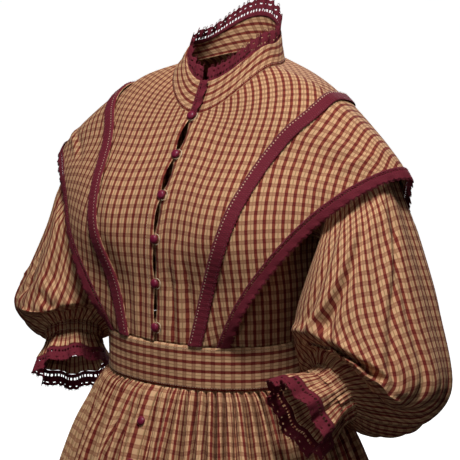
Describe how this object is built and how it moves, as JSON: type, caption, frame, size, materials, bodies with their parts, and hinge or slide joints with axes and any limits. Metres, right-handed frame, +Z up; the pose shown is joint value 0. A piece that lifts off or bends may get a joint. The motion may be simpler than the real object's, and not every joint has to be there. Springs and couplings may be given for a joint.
{
  "type": "dress",
  "caption": "Checked cotton dress with lace-edged shoulder overlays, full elbow sleeves with frilled cuffs, a stand collar, a buttoned front and a gathered skirt.",
  "frame": {"origin": "midway between the shoulder seams, at the height of the neck seam at the side, where the wearer's shoulders hold it up", "axes": "the front faces -Y, the wearer's left is +X, and +Z is up from the hem to the neck"},
  "size_m": [0.8475, 0.8369, 1.4006],
  "materials": {
    "checked_cotton": "woven check, matt",
    "wine_lace": "cotton lace",
    "wine_satin": "satin"
  },
  "bodies": {
    "root": {"bodice_front_left": "checked_cotton", "bodice_front_right": "checked_cotton", "bodice_back": "checked_cotton", "overlay_left": "checked_cotton", "overlay_right": "checked_cotton", "sleeve_left": "checked_cotton", "sleeve_right": "checked_cotton", "casing_left": "checked_cotton", "casing_right": "checked_cotton", "cuff_frill_left": "checked_cotton", "cuff_frill_right": "checked_cotton", "waistband": "checked_cotton", "collar": "checked_cotton", "skirt_front_left": "checked_cotton", "skirt_front_right": "checked_cotton", "skirt_side_left": "checked_cotton", "skirt_side_right": "checked_cotton", "skirt_back_left": "checked_cotton", "skirt_back_right": "checked_cotton", "braid_left": "wine_lace", "braid_right": "wine_lace", "edging_left": "wine_lace", "edging_right": "wine_lace", "cuff_lace_left": "wine_lace", "cuff_lace_right": "wine_lace", "collar_lace": "wine_lace", "button_1": "wine_satin", "button_2": "wine_satin", "button_3": "wine_satin", "button_4": "wine_satin", "button_5": "wine_satin", "button_6": "wine_satin", "skirt_button_1": "wine_satin", "skirt_button_2": "wine_satin"}
  },
  "joints": []
}
